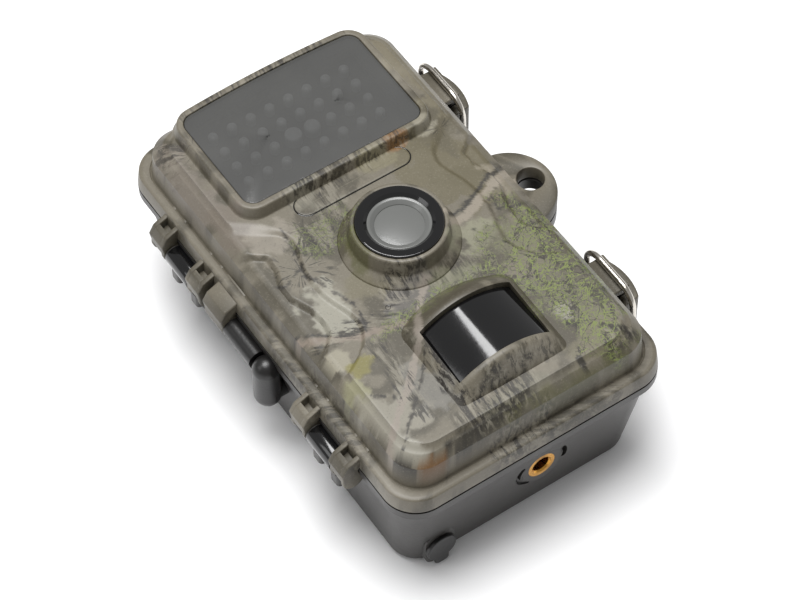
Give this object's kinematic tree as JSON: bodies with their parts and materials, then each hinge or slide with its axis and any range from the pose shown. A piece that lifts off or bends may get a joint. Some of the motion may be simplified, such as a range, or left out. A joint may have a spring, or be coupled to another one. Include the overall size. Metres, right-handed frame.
{
  "type": "trail camera",
  "caption": "Hinged weatherproof field camera with a lamp window, lens turret, hooded motion sensor, wire latches, padlock ear and tripod socket.",
  "frame": {"origin": "centre of the flat back face that rests on the ground or against a tree", "axes": "+Z out of the lens side, +Y to the camera's top with the lamp window, +X to the latch side"},
  "size_m": [0.1017, 0.14, 0.0643],
  "materials": {
    "rear_plastic": "fine spark-eroded texture, satin",
    "camo_plastic": "bark and leaf camouflage film, satin",
    "black_plastic": "polished black",
    "black_matte": "black, matte",
    "lens_grey": "light grey, polished",
    "smoked_window": "smoked clear plastic",
    "clear_window": "clear plastic",
    "lamp_resin": "clear resin",
    "rubber": "black silicone",
    "brass": "turned",
    "stainless": "bright drawn wire",
    "steel": "bright zinc",
    "nickel": "nickel plated",
    "board": "green solder mask",
    "cell_wrap": "plain dark wrap",
    "grey_plastic": "grey, moulded",
    "key_plastic": "light grey, moulded",
    "badge": "plain camouflage inlay"
  },
  "bodies": {
    "root": {"rear_shell": "rear_plastic", "gasket": "rubber", "tripod_insert": "brass", "hinge_pins": "stainless", "cable_sleeve": "rubber", "cable_boot": "rubber", "power_jack": "black_matte", "battery_tray": "black_matte", "battery_springs": "nickel", "battery_contacts": "nickel", "battery_cells": "cell_wrap", "tray_screws": "steel", "latch_pins": "stainless"},
    "cover": {"front_cover": "camo_plastic", "badge_plate": "badge", "lamp_window": "smoked_window", "window_mask": "black_matte", "lamp_board": "black_matte", "infrared_lamps": "lamp_resin", "indicator_lens": "lamp_resin", "light_sensor": "lamp_resin", "lens_ring": "black_plastic", "lens_window": "lens_grey", "lens_barrel": "black_matte", "lens_holder": "black_matte", "image_sensor": "black_plastic", "motion_lens": "black_plastic", "motion_sensor": "steel", "main_board": "board", "board_screws": "steel", "inner_panel": "grey_plastic", "panel_screws": "steel", "display": "black_plastic", "display_window": "clear_window", "mode_switch_body": "black_matte", "card_slot": "nickel", "usb_port": "nickel", "speaker": "black_matte", "microphone": "steel"},
    "power_plug": {"power_plug": "rubber"},
    "upper_lever": {"upper_latch_lever": "camo_plastic"},
    "lower_lever": {"lower_latch_lever": "camo_plastic"},
    "upper_bail": {"upper_latch_bail": "stainless"},
    "lower_bail": {"lower_latch_bail": "stainless"},
    "ir_cut_filter": {"ir_cut_filter": "clear_window"},
    "memory_card": {"memory_card": "black_matte"},
    "mode_switch_knob": {"mode_switch_knob": "key_plastic"},
    "key_up": {"key_up": "key_plastic"},
    "key_down": {"key_down": "key_plastic"},
    "key_left": {"key_left": "key_plastic"},
    "key_right": {"key_right": "key_plastic"},
    "key_ok": {"key_ok": "key_plastic"},
    "key_menu": {"key_menu": "key_plastic"}
  },
  "joints": [
    {"name": "cover_hinge", "type": "hinge", "parent": "root", "child": "cover", "pos_m": [-0.0446, 0, 0.0332], "axis": [0, -1, 0], "range_deg": [0, 110]},
    {"name": "upper_lever_pivot", "type": "hinge", "parent": "root", "child": "upper_lever", "pos_m": [0.0474, 0.043, 0.0348], "axis": [0, -1, 0], "range_deg": [0, 100]},
    {"name": "upper_bail_pivot", "type": "hinge", "parent": "upper_lever", "child": "upper_bail", "pos_m": [0.0464, 0.043, 0.0278], "axis": [0, -1, 0], "range_deg": [-60, 0]},
    {"name": "lower_lever_pivot", "type": "hinge", "parent": "root", "child": "lower_lever", "pos_m": [0.0474, -0.0375, 0.0348], "axis": [0, -1, 0], "range_deg": [0, 100]},
    {"name": "lower_bail_pivot", "type": "hinge", "parent": "lower_lever", "child": "lower_bail", "pos_m": [0.0464, -0.0375, 0.0278], "axis": [0, -1, 0], "range_deg": [-60, 0]},
    {"name": "plug_pull", "type": "slide", "parent": "root", "child": "power_plug", "axis": [0, -1, 0], "range_m": [0, 0.007]},
    {"name": "filter_slide", "type": "slide", "parent": "cover", "child": "ir_cut_filter", "axis": [1, 0, 0], "range_m": [0, 0.003]},
    {"name": "card_slide", "type": "slide", "parent": "cover", "child": "memory_card", "axis": [0, -1, 0], "range_m": [0, 0.006]},
    {"name": "mode_switch", "type": "slide", "parent": "cover", "child": "mode_switch_knob", "axis": [0, 1, 0], "range_m": [-0.0025, 0.0025]},
    {"name": "press_up", "type": "slide", "parent": "cover", "child": "key_up", "axis": [0, 0, 1], "range_m": [0, 0.0005], "stiffness_N_per_m": 300},
    {"name": "press_down", "type": "slide", "parent": "cover", "child": "key_down", "axis": [0, 0, 1], "range_m": [0, 0.0005], "stiffness_N_per_m": 300},
    {"name": "press_left", "type": "slide", "parent": "cover", "child": "key_left", "axis": [0, 0, 1], "range_m": [0, 0.0005], "stiffness_N_per_m": 300},
    {"name": "press_right", "type": "slide", "parent": "cover", "child": "key_right", "axis": [0, 0, 1], "range_m": [0, 0.0005], "stiffness_N_per_m": 300},
    {"name": "press_ok", "type": "slide", "parent": "cover", "child": "key_ok", "axis": [0, 0, 1], "range_m": [0, 0.0005], "stiffness_N_per_m": 300},
    {"name": "press_menu", "type": "slide", "parent": "cover", "child": "key_menu", "axis": [0, 0, 1], "range_m": [0, 0.0005], "stiffness_N_per_m": 300}
  ],
  "couplings": [
    {"joint": "upper_bail_pivot", "follows": "upper_lever_pivot", "ratio": -0.6},
    {"joint": "lower_bail_pivot", "follows": "lower_lever_pivot", "ratio": -0.6}
  ]
}
